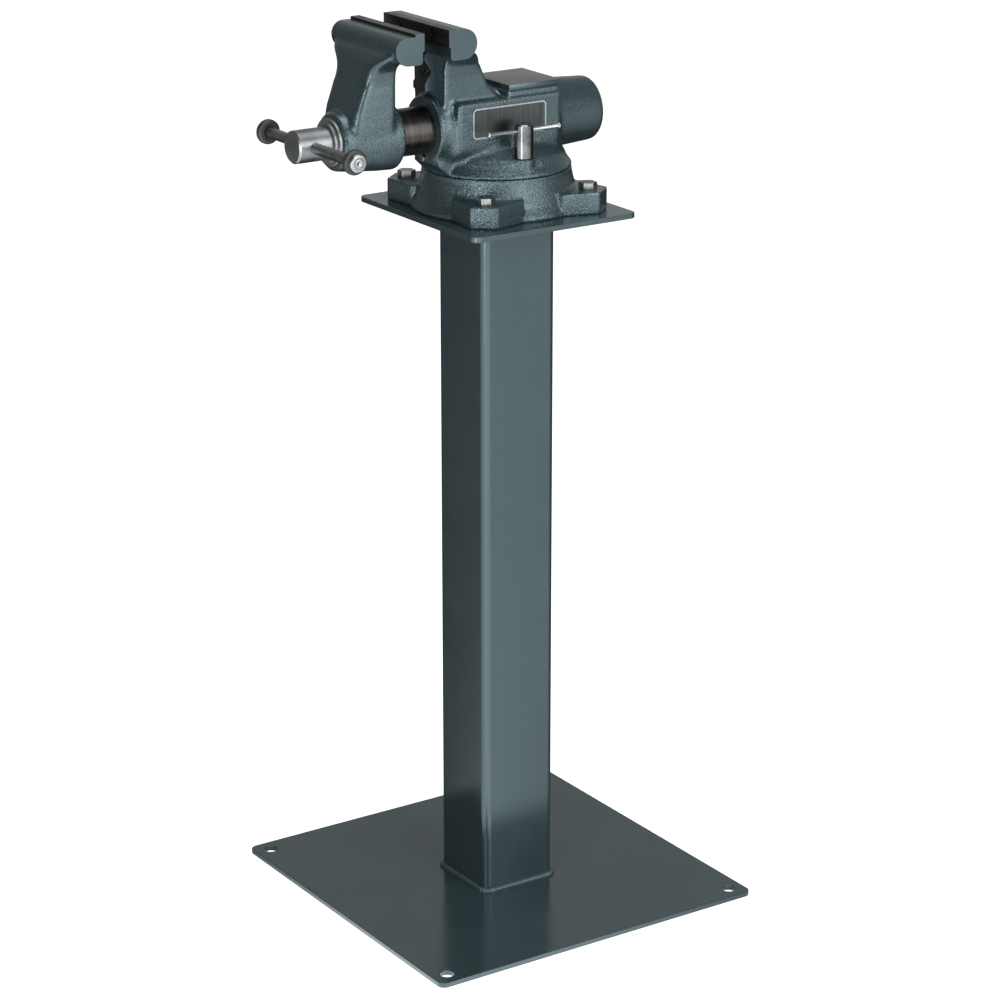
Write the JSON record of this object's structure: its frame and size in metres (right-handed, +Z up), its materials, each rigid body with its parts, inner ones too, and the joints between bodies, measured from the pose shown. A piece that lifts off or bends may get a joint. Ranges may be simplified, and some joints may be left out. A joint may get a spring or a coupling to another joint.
{
  "type": "bench vise on pedestal stand",
  "caption": "Swivel bench vise with pipe jaws and anvil, bolted on a welded square-post pedestal stand with an anchor plate for the floor.",
  "frame": {"origin": "centre of the floor plate's underside, on the post's axis and the swivel axis", "axes": "+Z up, -Y towards the handle end of the vise, X along the jaws"},
  "size_m": [0.4572, 0.5036, 1.0901],
  "materials": {
    "stand_enamel": "smooth semi-gloss enamel",
    "casting_enamel": "glossy pebbled enamel over rough casting",
    "zinc_hardware": "bright zinc",
    "brushed_plate": "brushed",
    "blackened_steel": "oil-blackened, ground on top",
    "slide_steel": "turned and oiled",
    "turned_steel": "turned, satin",
    "lock_chrome": "polished",
    "bearing_bronze": "turned",
    "ring_rubber": "matte"
  },
  "bodies": {
    "stand": {"floor_plate": "stand_enamel", "post_tube": "stand_enamel", "mounting_plate": "stand_enamel", "lower_weld": "stand_enamel", "upper_weld": "stand_enamel", "swivel_base": "casting_enamel", "base_bolts": "zinc_hardware", "base_washers": "zinc_hardware", "base_nuts": "zinc_hardware"},
    "vise_body": {"body_casting": "casting_enamel", "right_name_plate": "brushed_plate", "left_name_plate": "brushed_plate", "name_plate_pins": "brushed_plate", "fixed_jaw_insert": "blackened_steel", "fixed_jaw_screws": "blackened_steel", "fixed_pipe_jaw": "blackened_steel", "fixed_pipe_jaw_screw": "blackened_steel", "spindle_nut": "bearing_bronze", "nut_anchor_screw": "zinc_hardware", "nut_dowel": "zinc_hardware", "slide_key": "slide_steel", "slide_key_screw": "zinc_hardware", "right_lock_stud": "zinc_hardware", "left_lock_stud": "zinc_hardware"},
    "right_lock": {"right_lock_nut": "lock_chrome"},
    "right_lock_slider": {"right_lock_bar": "lock_chrome"},
    "left_lock": {"left_lock_nut": "lock_chrome"},
    "left_lock_slider": {"left_lock_bar": "lock_chrome"},
    "moving_jaw": {"moving_jaw_casting": "casting_enamel", "moving_jaw_insert": "blackened_steel", "moving_jaw_screws": "blackened_steel", "moving_pipe_jaw": "blackened_steel", "moving_pipe_jaw_screw": "blackened_steel", "slide_bar": "slide_steel", "slide_pin": "zinc_hardware", "spindle_collar": "turned_steel", "collar_set_screw": "blackened_steel", "thrust_washer": "bearing_bronze"},
    "spindle_body": {"spindle": "turned_steel", "spindle_circlip": "blackened_steel"},
    "handle": {"handle_bar": "turned_steel", "handle_end_caps": "zinc_hardware", "handle_rings": "ring_rubber"}
  },
  "joints": [
    {"name": "swivel", "type": "hinge", "parent": "stand", "child": "vise_body", "pos_m": [0, 0, 0.9116], "axis": [0, 0, 1], "continuous": true},
    {"name": "jaw_slide", "type": "slide", "parent": "vise_body", "child": "moving_jaw", "axis": [0, -1, 0], "range_m": [-0.0317, 0.095]},
    {"name": "spindle_turn", "type": "hinge", "parent": "moving_jaw", "child": "spindle_body", "pos_m": [0, -0.225, 0.9643], "axis": [0, -1, 0], "range_deg": [-2246, 6732]},
    {"name": "handle_slide", "type": "slide", "parent": "spindle_body", "child": "handle", "axis": [1, 0, 0], "range_m": [-0.078, 0.064]},
    {"name": "right_lock_turn", "type": "hinge", "parent": "vise_body", "child": "right_lock", "pos_m": [0.072, -0.01, 0.9333], "axis": [0, 0, 1], "range_deg": [-24, 24]},
    {"name": "right_bar_slide", "type": "slide", "parent": "right_lock", "child": "right_lock_slider", "axis": [0, -1, 0], "range_m": [-0.035, 0.035]},
    {"name": "left_lock_turn", "type": "hinge", "parent": "vise_body", "child": "left_lock", "pos_m": [-0.072, -0.01, 0.9333], "axis": [0, 0, 1], "range_deg": [-24, 24]},
    {"name": "left_bar_slide", "type": "slide", "parent": "left_lock", "child": "left_lock_slider", "axis": [0, 1, 0], "range_m": [-0.035, 0.035]}
  ],
  "couplings": [
    {"joint": "jaw_slide", "follows": "spindle_turn", "m_per_rad": 0.00080851}
  ]
}
